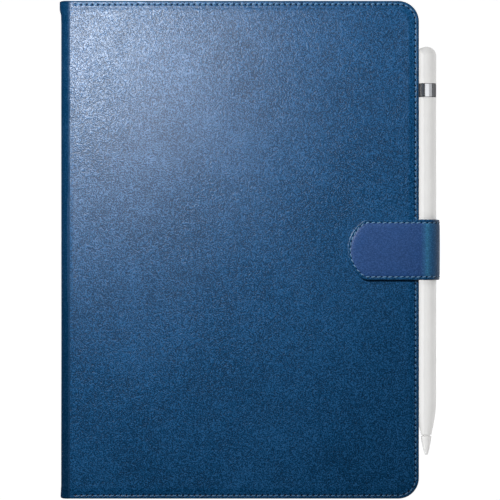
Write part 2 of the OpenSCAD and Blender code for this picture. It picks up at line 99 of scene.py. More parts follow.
# ---- materials
class Nodes:
    """Short calls for building a node material."""

    def __init__(self, name):
        self.mat = bpy.data.materials.new(name)
        self.mat.use_nodes = True
        self.tree = self.mat.node_tree
        self.bsdf = self.tree.nodes["Principled BSDF"]
        self.coords = self.new("ShaderNodeTexCoord").outputs["Object"]

    def new(self, kind, sockets=None, **settings):
        """A node with its settings. sockets gives inputs a constant or another node's output."""
        node = self.tree.nodes.new(kind)
        for key, value in settings.items():
            setattr(node, key, value)
        for key, value in (sockets or {}).items():
            if isinstance(value, bpy.types.NodeSocket):
                self.link(value, node.inputs[key])
            else:
                node.inputs[key].default_value = value
        return node

    def link(self, a, b):
        self.tree.links.new(a, b)

    def set(self, **values):
        """Constant values on the shader's own sockets."""
        for key, value in values.items():
            socket = self.bsdf.inputs[key.replace("_", " ")]
            socket.default_value = (*value, 1.0) if isinstance(value, tuple) else value

    def mapped(self, scale=(1, 1, 1), turn=(0, 0, 0)):
        node = self.new("ShaderNodeMapping", {"Scale": scale, "Rotation": turn, "Vector": self.coords})
        return node.outputs["Vector"]

    def noise(self, scale, detail=3.0, rough=0.55, vector=None):
        sockets = {"Scale": scale, "Detail": detail, "Roughness": rough, "Vector": vector or self.coords}
        return self.new("ShaderNodeTexNoise", sockets).outputs["Fac"]

    def voronoi(self, scale, feature="F1", randomness=1.0):
        sockets = {"Scale": scale, "Randomness": randomness, "Vector": self.coords}
        return self.new("ShaderNodeTexVoronoi", sockets, feature=feature).outputs["Distance"]

    def wave(self, scale, turn=(0, 0, 0), direction="X"):
        sockets = {"Scale": scale, "Vector": self.mapped(turn=turn)}
        return self.new("ShaderNodeTexWave", sockets, bands_direction=direction).outputs["Fac"]

    def math(self, operation, a, b):
        node = self.new("ShaderNodeMath", operation=operation)
        for socket, value in zip(node.inputs, (a, b)):
            if isinstance(value, (int, float)):
                socket.default_value = value
            else:
                self.link(value, socket)
        return node.outputs["Value"]

    def weigh(self, *parts):
        """Sum of values, each given with its weight."""
        total = None
        for value, weight in parts:
            term = self.math("MULTIPLY", value, weight)
            total = self.math("ADD", total, term) if total else term
        return total

    def mix(self, factor, a, b, how="MIX"):
        """Two colours blended."""
        node = self.new("ShaderNodeMix", {"Factor": factor, "A": a, "B": b}, data_type="RGBA", blend_type=how)
        return node.outputs["Result"]

    def ramp(self, fac, stops):
        """Colour ramp. A stop is its place and a colour, or one number for a grey."""
        node = self.new("ShaderNodeValToRGB", {"Fac": fac})
        ramp = node.color_ramp
        while len(ramp.elements) < len(stops):
            ramp.elements.new(0.5)
        for element, (place, colour) in zip(ramp.elements, stops):
            element.position = place
            element.color = (*colour, 1.0) if isinstance(colour, tuple) else (colour, colour, colour, 1.0)
        return node.outputs["Color"]

    def spread(self, fac, low, high):
        return self.new("ShaderNodeMapRange", {"To Min": low, "To Max": high, "Value": fac}).outputs["Result"]

    def bump(self, height, distance, strength=1.0, normal=None):
        sockets = {"Strength": strength, "Distance": distance, "Height": height}
        if normal:
            sockets["Normal"] = normal
        return self.new("ShaderNodeBump", sockets).outputs["Normal"]

    def finish(self, colour, rough, normal=None):
        """Links the look to the shader and gives the material."""
        self.link(colour, self.bsdf.inputs["Base Color"])
        self.link(rough, self.bsdf.inputs["Roughness"])
        if normal:
            self.link(normal, self.bsdf.inputs["Normal"])
        return self.mat


def scaled(colour, factor):
    return tuple(min(1.0, c * factor) for c in colour)


LEATHER_TONES = (0.42, 0.52, 0.61)    # places of the dark, middle and pale tone in the leather's grain


def leather(name, base, rough=(0.303, 0.331), specular=0.275, contrast=0.56, grain=1.0, crest_highlight=None):
    """Fine-grained coated leather: small pebbles, a shine that follows them and soft cloudy patches.
    A colour given for the crest is a painted highlight: a lighter band along X where the strap bends round the stylus."""
    n = Nodes(name)
    pores, fine = n.voronoi(2050.0), n.noise(2550.0, 1.0, 0.6)
    mottle, broad = n.noise(95.0, 4.0, 0.60), n.noise(34.0, 3.0, 0.5)
    tone = n.weigh((fine, 0.46), (mottle, 0.10), (broad, 0.10), (pores, 0.34))

    def grain_tones(tint):
        pale = tuple(c * (1 + contrast) + 0.02 * contrast for c in tint)
        return n.ramp(tone, list(zip(LEATHER_TONES, (scaled(tint, 1 - contrast), tint, pale))))

    colour = grain_tones(base)
    # painted highlight: a lighter colour in a band along X over the crest, where the strap bends round the stylus
    if crest_highlight:
        place = n.new("ShaderNodeSeparateXYZ", {"Vector": n.coords})
        across = n.math("MULTIPLY", n.math("SUBTRACT", place.outputs["X"], mm(77.6)), 200.0)
        band = n.ramp(across, [(0.0, 0.0), (0.36, 0.45), (0.55, 1.0), (0.68, 0.75), (1.0, 0.42)])
        colour = n.mix(band, colour, grain_tones(crest_highlight))
    gloss = n.weigh((fine, 0.10), (mottle, 0.80), (pores, 0.10))
    shine = n.ramp(gloss, [(0.41, rough[1]), (0.60, rough[0])])
    relief = n.bump(pores, mm(0.12), 0.48 * grain)
    relief = n.bump(fine, mm(0.14), 0.51 * grain, relief)
    relief = n.bump(mottle, mm(0.30), 0.22 * grain, relief)
    sheen = n.ramp(tone, list(zip(LEATHER_TONES, (specular * 0.70, specular, specular * 1.22))))
    n.link(sheen, n.bsdf.inputs["Specular IOR Level"])
    return n.finish(colour, shine, relief)


def suede(name, base):
    n = Nodes(name)
    nap = n.noise(1900.0, 4.0, 0.7)
    brushed = n.noise(60.0, 3.0, 0.6, n.mapped(scale=(1.0, 0.35, 1.0)))
    colour = n.ramp(n.weigh((nap, 0.55), (brushed, 0.45)), [(0.36, scaled(base, 0.72)), (0.64, scaled(base, 1.30))])
    n.set(Sheen_Weight=0.45, Sheen_Roughness=0.45, Specular_IOR_Level=0.15)
    return n.finish(colour, n.spread(nap, 0.85, 0.98), n.bump(nap, mm(0.12), 0.5))


def plastic(name, base, rough=(0.38, 0.50), texture=2200.0, depth=0.02, wear=0.12, specular=0.5):
    """Moulded plastic with a fine spark-eroded texture."""
    n = Nodes(name)
    spark = n.noise(texture, 2.0)
    cloud = n.noise(70.0, 3.0)
    colour = n.ramp(cloud, [(0.3, scaled(base, 1 - wear)), (0.7, scaled(base, 1 + wear))])
    n.set(Specular_IOR_Level=specular)
    return n.finish(colour, n.spread(spark, *rough), n.bump(spark, mm(depth), 0.5))


def thread_material(name, base):
    n = Nodes(name)
    twist = n.wave(900.0, turn=(0, 0, 0.75))
    fuzz = n.noise(3000.0, 2.0)
    colour = n.ramp(n.weigh((twist, 0.6), (fuzz, 0.4)), [(0.2, scaled(base, 0.62)), (0.75, scaled(base, 1.25))])
    n.set(Sheen_Weight=0.2, Specular_IOR_Level=0.3)
    return n.finish(colour, n.spread(fuzz, 0.55, 0.75), n.bump(twist, mm(0.08), 0.6))


def metal(name, base, rough=(0.18, 0.28), lines=0.0, painted_dark_rim=False):
    """Brushed or polished metal. A dark rim is a painted reflection: the colour darkens towards the silhouette of a
    round piece, as if it reflected a dark studio at its sides.
    """
    n = Nodes(name)
    brush = n.noise(900.0, 3.0, 0.6, n.mapped(scale=(1.0, 0.03, 1.0) if lines else (1, 1, 1)))
    cloud = n.noise(90.0, 2.0)
    colour = n.ramp(cloud, [(0.3, scaled(base, 0.93)), (0.7, scaled(base, 1.04))])
    if painted_dark_rim:
        # painted reflection: the colour darkens as the surface turns away from the view
        facing = n.new("ShaderNodeLayerWeight").outputs["Facing"]
        colour = n.mix(1.0, colour, n.ramp(facing, [(0.18, 1.0), (0.32, 0.27), (0.60, 0.09)]), "MULTIPLY")
    n.set(Metallic=1.0)
    return n.finish(colour, n.spread(brush, *rough), n.bump(brush, mm(0.01), 0.15 + lines))


def board(name, base):
    n = Nodes(name)
    fibre = n.noise(700.0, 5.0, 0.7, n.mapped(scale=(1.0, 0.25, 1.0)))
    colour = n.ramp(fibre, [(0.3, scaled(base, 0.75)), (0.7, scaled(base, 1.15))])
    return n.finish(colour, n.spread(fibre, 0.75, 0.95), n.bump(fibre, mm(0.08), 0.4))


def circuit(name):
    n = Nodes(name)
    cells = n.voronoi(420.0, "DISTANCE_TO_EDGE", randomness=0.35)
    tracks = n.math("LESS_THAN", cells, 0.09)
    mask = n.noise(300.0, 2.0)
    colour = n.ramp(tracks, [(0.0, (0.012, 0.075, 0.035)), (1.0, (0.05, 0.20, 0.09))])
    n.set(Coat_Weight=0.4, Coat_Roughness=0.2)
    return n.finish(colour, n.spread(mask, 0.28, 0.42), n.bump(tracks, mm(0.03), 0.4))


def elastic(name, base):
    n = Nodes(name)
    ribs = n.wave(420.0, direction="Y")
    fuzz = n.noise(2500.0, 2.0)
    colour = n.ramp(ribs, [(0.1, scaled(base, 0.6)), (0.8, scaled(base, 1.2))])
    n.set(Sheen_Weight=0.3)
    return n.finish(colour, n.spread(fuzz, 0.75, 0.9), n.bump(ribs, mm(0.12), 0.7))


BLUE = (0.0004, 0.0445, 0.124)
STRAP_BLUE = (0.012, 0.051, 0.166)
LEATHER = leather("blue_leather", BLUE)
# the spine and fold leather are the blue made darker and given little shine: painted shade where the leather turns away
# from the key light round the fold and down the spine
SPINE_SHADE_LEATHER = leather("spine_leather_painted_shade", scaled(BLUE, 0.46), (0.55, 0.70), specular=0.02, contrast=0.3)
FOLD_SHADE_LEATHER = leather("fold_leather_painted_shade", scaled(BLUE, 0.60), (0.50, 0.62), specular=0.13, contrast=0.2)
# the strap's lighter crest colour is a painted highlight
STRAP_LEATHER = leather("strap_leather", STRAP_BLUE, (0.42, 0.56), specular=0.20, contrast=0.24,
                                 grain=0.85, crest_highlight=(0.029, 0.138, 0.262))
THREAD = thread_material("blue_thread", (0.074, 0.172, 0.300))
STRAP_THREAD = thread_material("strap_thread", (0.115, 0.225, 0.365))
# the needle holes are near-black with almost no shine: painted shade in the holes
NEEDLE_HOLE_SHADE = plastic("needle_hole_shade", (0.003, 0.010, 0.024), (0.8, 0.95), specular=0.03)
SUEDE = suede("blue_suede", (0.020, 0.050, 0.095))
BOARD = board("pressed_board", (0.36, 0.30, 0.22))
CASE_BLACK = plastic("case_plastic", (0.022, 0.023, 0.026), (0.42, 0.55))
KEY_BLACK = plastic("key_plastic", (0.030, 0.031, 0.034), (0.40, 0.52), 2600.0)
LEGEND = plastic("key_legend", (0.62, 0.63, 0.64), (0.45, 0.6))
RUBBER = plastic("grey_rubber", (0.060, 0.060, 0.064), (0.62, 0.78), 1500.0, 0.03)
WHITE = plastic("stylus_white", (0.82, 0.815, 0.80), (0.30, 0.40), 1800.0, 0.006, 0.02, 0.16)
# the ring's dark sides are a painted reflection
CHROME = metal("ring_chrome", (0.50, 0.51, 0.53), (0.15, 0.20), 0.1, True)
STEEL = metal("steel", (0.55, 0.56, 0.58))
FOIL = metal("battery_foil", (0.50, 0.51, 0.53), (0.35, 0.5), 0.1)
CIRCUIT = circuit("circuit_green")
ELASTIC = elastic("elastic_band", (0.012, 0.035, 0.085))
LENS = plastic("light_lens", (0.45, 0.62, 0.52), (0.15, 0.25))


# ---- mesh helpers
def make(name, verts, faces, materials, body=None, smooth_deg=40.0, face_slots=None):
    """A mesh piece from points in mm. Points that coincide are welded."""
    mesh = bpy.data.meshes.new(name)
    mesh.from_pydata([mm(*v) for v in verts], [], faces)
    obj = bpy.data.objects.new(name, mesh)
    scene.collection.objects.link(obj)
    for m in materials:
        mesh.materials.append(m)
    if face_slots:
        mesh.polygons.foreach_set("material_index", face_slots)
    bm = bmesh.new()
    bm.from_mesh(mesh)
    bmesh.ops.remove_doubles(bm, verts=bm.verts, dist=2e-6)
    bmesh.ops.dissolve_degenerate(bm, edges=bm.edges, dist=1e-6)
    bmesh.ops.recalc_face_normals(bm, faces=bm.faces)
    bm.to_mesh(mesh)
    bm.free()
    mesh.shade_smooth()
    mesh.set_sharp_from_angle(angle=radians(smooth_deg))
    if body:
        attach(obj, body)
    return obj


def lerp(a, b, t):
    return a + (b - a) * t


def smooth(t):
    """A step from 0 to 1 with soft ends."""
    t = min(1.0, max(0.0, float(t)))
    return t * t * (3 - 2 * t)


def strip_faces(rows, cols, start=0, closed=False):
    """Quads between consecutive rows of a points grid."""
    faces = []
    for r in range(rows - 1):
        a = start + r * cols
        b = a + cols
        for c in range(cols if closed else cols - 1):
            d = (c + 1) % cols
            faces.append((a + c, a + d, b + d, b + c))
    return faces


def end_faces(start, stop, cols):
    """The two end faces of a closed strip whose points run from start to stop."""
    return [tuple(range(start, start + cols)), tuple(range(stop - cols, stop))]


def circle(count):
    """Cosine and sine of evenly spaced angles."""
    return [(cos(2 * pi * k / count), sin(2 * pi * k / count)) for k in range(count)]


def lathe(name, profile, centre, material, body, axis="Y", segments=72):
    """A turned piece: profile is (radius, place along the axis) in mm, from one end to the other."""
    verts = []
    for radius, along in profile:
        for c, s in circle(segments):
            x, other = centre[0] + radius * c, radius * s
            verts.append((x, along, centre[2] + other) if axis == "Y" else (x, centre[1] + other, along))
    return make(name, verts, strip_faces(len(profile), segments, closed=True), [material], body, 35.0)


# ---- covers
FOLD_LEN = SPINE_R * pi / 2
SPINE_HALF = CLOSED_T / 2 - SPINE_R


def cover_point(u, n, y, front):
    """A point of the cover sheet. u is the distance along the outer surface, 0 at the crease:
    positive over the panel, negative round the fold and down the spine. n is height above the surface."""
    if u >= 0:
        x, z = CREASE_X + u, CLOSED_T + n
    elif u > -FOLD_LEN:
        a = pi / 2 - u / SPINE_R
        x = CREASE_X + (SPINE_R + n) * cos(a)
        z = CLOSED_T - SPINE_R + (SPINE_R + n) * sin(a)
    else:
        x, z = SPINE_X - n, CLOSED_T - SPINE_R + (u + FOLD_LEN)
    return (x, y, z if front else CLOSED_T - z)


def sheet_thickness(u):
    """Leather with board and lining, thinner round the fold."""
    fold = smooth((u + 0.2) / -0.8) * smooth((u + FOLD_LEN + 0.6) / 0.8)
    return PANEL_T - (PANEL_T - 1.35) * fold


# Edge section of a cover: distance in from the edge, height above the show face
EDGE_TOP = [
    (6.0, 0.0), (5.0, 0.0), (4.4, -0.01), (4.0, -0.035), (3.6, -0.09), (3.2, -0.16), (2.8, -0.20), (2.4, -0.21),
    (2.05, -0.21), (1.87, -0.225), (1.7, -0.24), (1.53, -0.225), (1.35, -0.21), (1.1, -0.205), (0.85, -0.21),
    (0.6, -0.235), (0.4, -0.31), (0.22, -0.46), (0.08, -0.72), (0.0, -1.0),
]
EDGE_UNDER = [(0.0, 0.62), (0.06, 0.36), (0.2, 0.17), (0.4, 0.06), (0.65, 0.0), (1.0, 0.0)]
SEAM_N = -0.24    # the seam's height above the show face
SEAM_START = 1.2    # from the crease to the first stitch
PER_STITCH = 4    # seam columns per stitch
INNER_SHARES = (0.04, 0.09, 0.15, 0.22, 0.30, 0.38, 0.46, 0.54, 0.62, 0.70, 0.78, 0.86, 0.93, 1.0)


def crease_dip(u):
    """The hinge groove beside the board's edge."""
    return -0.26 * exp(-((u + 0.1) / 0.42) ** 2)


def puff(u, y, front):
    """Soft unevenness of the leather over its board, none of it under the strap's tongue."""
    x = CREASE_X + u
    wave = 0.035 * sin(x * 0.061 + 1.3 * sin(y * 0.031)) + 0.03 * sin(y * 0.043 + x * 0.02 + 0.8)
    calm = 1.0 - 0.9 * exp(-((x - 62) / 26) ** 2 - (y / 24) ** 2) if front else 0.5
    return (wave - 0.065) * calm


def spine_flare(y):
    """The spine leather stands out a little at its two turned ends, more at the upper one."""
    upper = 0.85 * smooth((y - (HALF_H - 7.0)) / 4.5)
    return upper + 0.45 * smooth((-y - (HALF_H - 5.5)) / 4.0)


def needle_dent(column, off_seam, at_hole, beside, width):
    """Each stitch pulls the leather in at its needle hole, and a little beside it."""
    from_hole = min(column % PER_STITCH, -column % PER_STITCH)
    if from_hole > 1:
        return 0.0
    return -(beside if from_hole else at_hole) * exp(-(off_seam / width) ** 2)


class Outline:
    """A free outline, alike on both sides of y = 0, in even steps along its seam. A subclass gives upper()."""

    def __init__(self, total):
        count = PER_STITCH * round(total / STITCH_PITCH)
        self.total, self.step = total, total / count
        self.places = [total * i / count for i in range(count + 1)]

    def point(self, t, d):
        """The point at t along the seam, moved in by d from the edge."""
        if t > self.total / 2:
            along, y = self.upper(self.total - t, d)
            return (along, -y)
        return self.upper(t, d)

    def row(self, d, coarse=False):
        places = self.places[::PER_STITCH] if coarse else self.places
        return [self.point(t, d) for t in places]


class CoverOutline(Outline):
    """Upper leg, corner, side, corner and lower leg of a cover. Its points are (u, y)."""

    def __init__(self):
        self.width = HALF_W - CREASE_X
        self.leg = self.width - CORNER_R
        self.arc = (CORNER_R - SEAM_INSET) * pi / 2
        super().__init__(2 * (self.leg + self.arc) + 2 * (HALF_H - CORNER_R))

    def upper(self, t, d):
        if t <= self.leg:
            return (t, HALF_H - d)
        if t <= self.leg + self.arc:
            a, r = pi / 2 * (t - self.leg) / self.arc, CORNER_R - d
            return (self.leg + r * sin(a), HALF_H - CORNER_R + r * cos(a))
        return (self.width - d, HALF_H - CORNER_R - (t - self.leg - self.arc))


OUTLINE = CoverOutline()


def row_faces(rows):
    """Faces between rows of points. Where a row has 4 times the points of its neighbour, they fan in."""
    faces, a = [], 0
    for upper, lower in zip(rows[:-1], rows[1:]):
        b, over, under = a + len(upper), len(upper) - 1, len(lower) - 1
        if over <= under:
            k = under // over
            faces += [(a + c, a + c + 1, *[b + k * c + j for j in range(k, -1, -1)]) for c in range(over)]
        else:
            k = over // under
            faces += [(b + c + 1, b + c, *[a + k * c + j for j in range(k + 1)]) for c in range(under)]
        a = b
    return faces


def cover(name, front):
    """Leather of one cover with its half of the spine, as one closed skin."""
    deep = OUTLINE.row(EDGE_TOP[0][0], coarse=True)
    inner = [[(lerp(u, u * 0.30, f), y * (1 - f)) for u, y in deep] for f in INNER_SHARES]

    def height(u, y, d):
        share = smooth((d - 2.0) / 5.0)
        return crease_dip(u) * (0.35 + 0.65 * share) + puff(u, y, front) * share

    rows = [[(u, height(u, y, min(HALF_H - abs(y), OUTLINE.width - u)), y) for u, y in row] for row in inner[::-1]]
    for d, n in EDGE_TOP:
        line = []
        for k, (u, y) in enumerate(OUTLINE.row(d)):
            sewn = SEAM_START < OUTLINE.places[k] < OUTLINE.total - SEAM_START
            dent = needle_dent(k, d - SEAM_INSET, 0.36, 0.06, 0.36) if sewn else 0.0
            line.append((u, n + height(u, y, d) + dent, y))
        rows.append(line)
    shown = len(rows)
    rows += [[(u, lift - sheet_thickness(u), y) for u, y in OUTLINE.row(d, coarse=True)] for d, lift in EDGE_UNDER]
    rows.append([(u, -SKIN_T, y) for u, y in OUTLINE.row(1.0, coarse=True)])
    rows += [[(u, -SKIN_T, y) for u, y in row] for row in inner[2::5] + [inner[-1]]]
    verts = [cover_point(u, n, y, front) for row in rows for u, n, y in row]
    faces = row_faces(rows)
    slots = [0] * len(faces)

    # fold and spine: each row's two ends run on round the fold, to the middle of the spine
    places = [-0.25, -0.5, -0.8, -1.1, *np.linspace(-1.6, -FOLD_LEN, 11),
              *(-FOLD_LEN - SPINE_HALF * np.array([0.05, 0.15, 0.35, 0.6, 0.8, 1.0]))]
    for end in (0, -1):
        start = len(verts)
        grid = [[row[end] for row in rows]]
        for u in places:
            line, out = [], smooth(-u / 5.0)
            for k, row in enumerate(rows):
                _, base_n, y = row[end]
                if shown <= k < shown + len(EDGE_UNDER):
                    n = EDGE_UNDER[k - shown][1] - sheet_thickness(u) + spine_flare(y) * out * 0.6
                elif k >= shown:
                    n = -SKIN_T
                else:
                    share = 0.35 + 0.65 * smooth((HALF_H - abs(y) - 2.0) / 5.0)
                    n = base_n + (crease_dip(u) - crease_dip(0.0)) * share + spine_flare(y) * out
                line.append((u, n, y))
            grid.append(line)
        verts += [cover_point(u, n, y, front) for line in grid for u, n, y in line]
        fold = strip_faces(len(grid), len(rows), start)
        # the first three rows round the fold take the fold leather and the rest the spine leather, both darkened as
        # painted shade
        slots += [2 if k < 3 * len(rows) else 1 for k in range(len(fold))]
        cap = cap_faces(start + (len(grid) - 1) * len(rows), len(rows), shown)
        slots += [1] * len(cap)
        faces += fold + cap
    return make(name, verts, faces, [LEATHER, SPINE_SHADE_LEATHER, FOLD_SHADE_LEATHER], None, 50.0, slots)


def cap_faces(start, count, turn):
    """Closes a cut sheet: its points run over the show side up to turn, then back along the inner side."""
    last_shown, last_hidden, inner = turn - 1, count - turn - 1, start + turn
    faces, i, j = [], 0, last_hidden
    while i < last_shown or j > 0:
        if j == 0 or (i < last_shown and i / last_shown <= 1 - j / last_hidden):
            faces.append((start + i, start + i + 1, inner + j))
            i += 1
        else:
            faces.append((start + i, inner + j - 1, inner + j))
            j -= 1
    return faces


front_leather = cover("front_leather", True)
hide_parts("front_skin", "spine_skin")
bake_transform(front_leather)


def cut_camera_window(obj, x, y, radius):
    """A round window through the back cover, cut with a boolean that is applied."""
    bpy.ops.mesh.primitive_cylinder_add(vertices=72, radius=mm(radius), depth=mm(20), location=mm(x, y, 0))
    cutter = bpy.context.object
    mod = obj.modifiers.new("window", "BOOLEAN")    # its operation is a difference
    mod.object, mod.solver = cutter, "EXACT"
    bpy.context.view_layer.update()
    cut = bpy.data.meshes.new_from_object(obj.evaluated_get(bpy.context.evaluated_depsgraph_get()))
    obj.modifiers.clear()
    obj.data = cut
    bpy.data.objects.remove(cutter)
    cut.shade_smooth()
    cut.set_sharp_from_angle(angle=radians(50))


WINDOW = (55.5, 89.0, 7.0)
back_leather = cover("back_leather", False)
cut_camera_window(back_leather, *WINDOW)
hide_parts("back_skin")
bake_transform(back_leather)


# ---- camera, floor, light
CAMERA_AT = (4.37, -0.1, 1200.0)
IMAGE_WIDTH = 214.7    # width of the picture at the level of the front cover
SENSOR = 36.0
FLOOR_HALF = 3000.0
FLOOR_Z = -0.05
KEY_AT = (-0.0954, 0.130, 0.300)    # the key light, in metres


def set_up_view():
    """A camera far above the case that looks straight down."""
    scene.view_settings.view_transform = "Standard"
    cam = bpy.data.cameras.new("camera")
    cam.sensor_width = SENSOR
    cam.lens = SENSOR * (CAMERA_AT[2] - CLOSED_T) / IMAGE_WIDTH
    cam.clip_end = 20.0
    obj = bpy.data.objects.new("camera", cam)
    obj.location = mm(*CAMERA_AT)
    scene.collection.objects.link(obj)
    scene.camera = obj


def area_light(name, place, aim, size, power):
    """A rectangular light. It turns about Y only, so size is its width across X and its length along Y."""
    data = bpy.data.lights.new(name, "AREA")
    data.shape, data.energy = "RECTANGLE", power
    data.size, data.size_y = size
    obj = bpy.data.objects.new(name, data)
    obj.location = place
    ray = Vector(aim) - Vector(place)
    obj.rotation_euler = (0.0, atan2(-ray.x, -ray.z), 0.0)
    obj.visible_camera = False
    scene.collection.objects.link(obj)
    return obj


def set_up_stage():
    """A glowing pale floor, a studio that is pale below and dark above, and the key light."""
    n = Nodes("pale_floor")
    cloud = n.noise(6.0, 2.0)
    n.set(Emission_Color=(1.0, 1.0, 1.0), Emission_Strength=0.98, Specular_IOR_Level=0.0)
    floor_mat = n.finish(n.ramp(cloud, [(0.0, 0.80), (1.0, 0.82)]), n.spread(cloud, 0.85, 0.9))
    corners = [(FLOOR_HALF * x, FLOOR_HALF * y, FLOOR_Z) for x, y in ((-1, -1), (1, -1), (1, 1), (-1, 1))]
    floor = make("floor", corners, [(0, 1, 2, 3)], [floor_mat])
    world = scene.world = bpy.data.worlds.new("studio")
    world.use_nodes = True
    tree = world.node_tree
    coords, split, ramp = (tree.nodes.new("ShaderNode" + kind) for kind in ("TexCoord", "SeparateXYZ", "ValToRGB"))
    tree.links.new(coords.outputs["Generated"], split.inputs["Vector"])
    tree.links.new(split.outputs["Z"], ramp.inputs["Fac"])
    low, high = ramp.color_ramp.elements
    low.position, low.color = 0.10, (0.62, 0.62, 0.63, 1)
    high.position, high.color = 0.34, (0.022, 0.023, 0.025, 1)
    tree.links.new(ramp.outputs["Color"], tree.nodes["Background"].inputs["Color"])
    return area_light("key", KEY_AT, (*KEY_AT[:2], 0.0), (0.03, 0.09), 1.93)


def light_set(name, pieces):
    """A collection of the pieces that a light shines on or skips."""
    group = bpy.data.collections.new(name)
    for piece in pieces:
        group.objects.link(piece)
    return group


def light_stylus(key, pieces):
    """The stylus has its own soft lights. The key light passes by the stylus and the glowing floor."""
    only = light_set("stylus_light_set", pieces)
    skip = light_set("key_light_set", [bpy.data.objects["floor"], *pieces])
    for entry in skip.collection_objects:
        entry.light_linking.link_state = "EXCLUDE"
    key.light_linking.receiver_collection = skip
    pen = (0.08, 0.0, 0.01)
    for light in (area_light("stylus_top", (0.145, 0.0, 0.627), pen, (0.52, 0.9), 2.4),
                  area_light("stylus_side", (-0.486, 0.0, 0.262), pen, (0.45, 0.9), 6.2),
                  area_light("stylus_card", (0.533, 0.0, 0.433), pen, (0.40, 0.9), 0.95)):
        light.light_linking.receiver_collection = only
        light.light_linking.blocker_collection = only


set_up_view()
key_light = set_up_stage()


# ---- seams
def walk(points, normals, pitch):
    """Evenly spaced places along a polyline: (position, tangent, normal), in mm."""
    p, n = np.array(points, float), np.array(normals, float)
    run = np.concatenate([[0], np.cumsum(np.linalg.norm(np.diff(p, axis=0), axis=1))])
    length = run[-1]
    count = round(length / pitch)
    places = (np.arange(count) + 0.5) * length / count

    def at(values, where):
        return np.array([np.interp(where, run, values[:, k]) for k in range(3)]).T

    ahead, behind = at(p, places + 0.3), at(p, places - 0.3)
    spots = []
    for here, along, up in zip(at(p, places), ahead - behind, at(n, places)):
        spots.append((here, along / np.linalg.norm(along), up / np.linalg.norm(up)))
    return spots, length / count


STITCH_SHAPE = [(-1.0, 0.35, -0.34), (-0.80, 0.80, -0.14), (-0.45, 1.0, 0.0), (0.0, 1.0, 0.05),
                (0.45, 1.0, 0.0), (0.80, 0.80, -0.14), (1.0, 0.35, -0.34)]


def stitches(name, spots, length, body=None, width=0.46, slant=0.16, lift=0.09, outward=0.12,
             hole=(0.42, 0.27, 0.0), thread=THREAD, reach=0.40):
    """One mesh of separate stitches, each dipping into the needle holes at its two ends.
    A spot is (position, tangent, normal). outward moves the thread towards the edge, reach is half its
    length as a share of the pitch, and hole is the half length, half width and height of the needle hole,
    a small dark bowl whose colour is painted shade."""
    verts, faces, slots = [], [], []
    sides, rim = 7, 10
    for here, along, up in spots:
        across = np.cross(up, along)
        turn = along * cos(slant) + across * sin(slant)
        side = np.cross(up, turn)
        start = len(verts)
        for place, size, dip in STITCH_SHAPE:
            centre = here + turn * place * length * reach + up * (lift + dip)
            centre = centre + across * outward * (1 - place * place)
            verts += [centre + side * (c * width / 2 * size) + up * (s * width * 0.36 * size) for c, s in circle(sides)]
        ring = strip_faces(len(STITCH_SHAPE), sides, start, closed=True)
        faces += ring + end_faces(start, len(verts), sides)
        slots += [0] * (len(ring) + 2)
        # the needle hole: a small dark bowl whose near-black colour is painted shade
        start = len(verts)
        centre = here + along * length * 0.5 + up * hole[2]
        for r, h in ((1.0, -0.05), (0.6, 0.0)):
            verts += [centre + (along * (c * hole[0] * r) + across * (s * hole[1] * r)) + up * h
                      for c, s in circle(rim)]
        bowl = strip_faces(2, rim, start, closed=True)
        faces += bowl + end_faces(start, len(verts), rim)[::-1]
        slots += [1] * (len(bowl) + 2)
    return make(name, verts, faces, [thread, NEEDLE_HOLE_SHADE], body, 60.0, slots)


def seam_spots(points, ups, margin=0):
    """Stitch places from a fine row of seam points. Holes are at every fourth point, threads half way between.
    No stitch reaches into the margin, a number of points at each end."""
    spots = []
    for k in range(PER_STITCH // 2, len(points) - 1, PER_STITCH):
        if margin <= k - 2 and k + 2 <= len(points) - 1 - margin:
            along = np.array(points[k + 1]) - np.array(points[k - 1])
            spots.append((np.array(points[k]), along / np.linalg.norm(along), np.array(ups[k], float)))
    return spots


def cover_seam(name, front, body, node):
    """The seam that runs 1.7 mm inside the three free edges of a cover."""
    points = [cover_point(u, SEAM_N, y, front) for u, y in OUTLINE.row(SEAM_INSET)]
    if not front:
        points.reverse()
    ups = [(0, 0, 1 if front else -1)] * len(points)
    spots = seam_spots(points, ups, ceil(SEAM_START / OUTLINE.step))
    obj = stitches(name, spots, OUTLINE.step * PER_STITCH, body, slant=0.08, outward=0.40,
                   hole=(0.80, 0.48, -0.05), reach=0.37)
    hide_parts(node)


cover_seam("front_seam", True, "front_cover", "front_stitching")
cover_seam("back_seam", False, "back_cover", "back_stitching")


# ---- inner lining of the two folds
def fold_lining(name, front):
    """Suede strip that lines a fold and half of the spine. It laps over the cover's lining."""
    path = [(4.4, -2.64), (3.0, -2.66), (1.4, -2.66), (0.5, -2.62), (0.0, -2.45), (-0.5, -2.15), (-1.1, -1.86)]
    path += [(u, -1.68) for u in np.linspace(-1.8, -FOLD_LEN + 1.2, 7)]
    path += [(-FOLD_LEN + 0.5, -1.80), (-FOLD_LEN, -2.0), (-FOLD_LEN - 0.4, -2.14)]
    path += [(-FOLD_LEN - SPINE_HALF * t, -2.15) for t in (0.15, 0.4, 0.7, 1.0)]
    half_t, half_w = 0.14, HALF_H - 1.5
    across = [-half_w, -half_w + 0.25, *np.linspace(-half_w + 6, half_w - 6, 36), half_w - 0.25, half_w]
    rows = []
    for side, line in ((half_t, path), (-half_t, path[::-1])):
        for u, n in line:
            thick = side * (0.45 if u == path[0][0] else 1.0)
            rows.append([(u, n + thick * (0.4 if abs(y) == half_w else 1.0), y) for y in across])
    rows.append(rows[0])
    cols = len(across)
    verts = [cover_point(u, n, y, front) for row in rows for u, n, y in row]
    faces = strip_faces(len(rows), cols)
    last = 2 * len(path) - 1
    for edge in (0, cols - 1):
        for i in range(len(path) - 1):
            faces.append(tuple(k * cols + edge for k in (i, i + 1, last - 1 - i, last - i)))
    piece = make(name, verts, faces, [SUEDE], None, 50.0)
    line = [cover_point(u, n, 0.0, front) for u, n in path]
    return piece


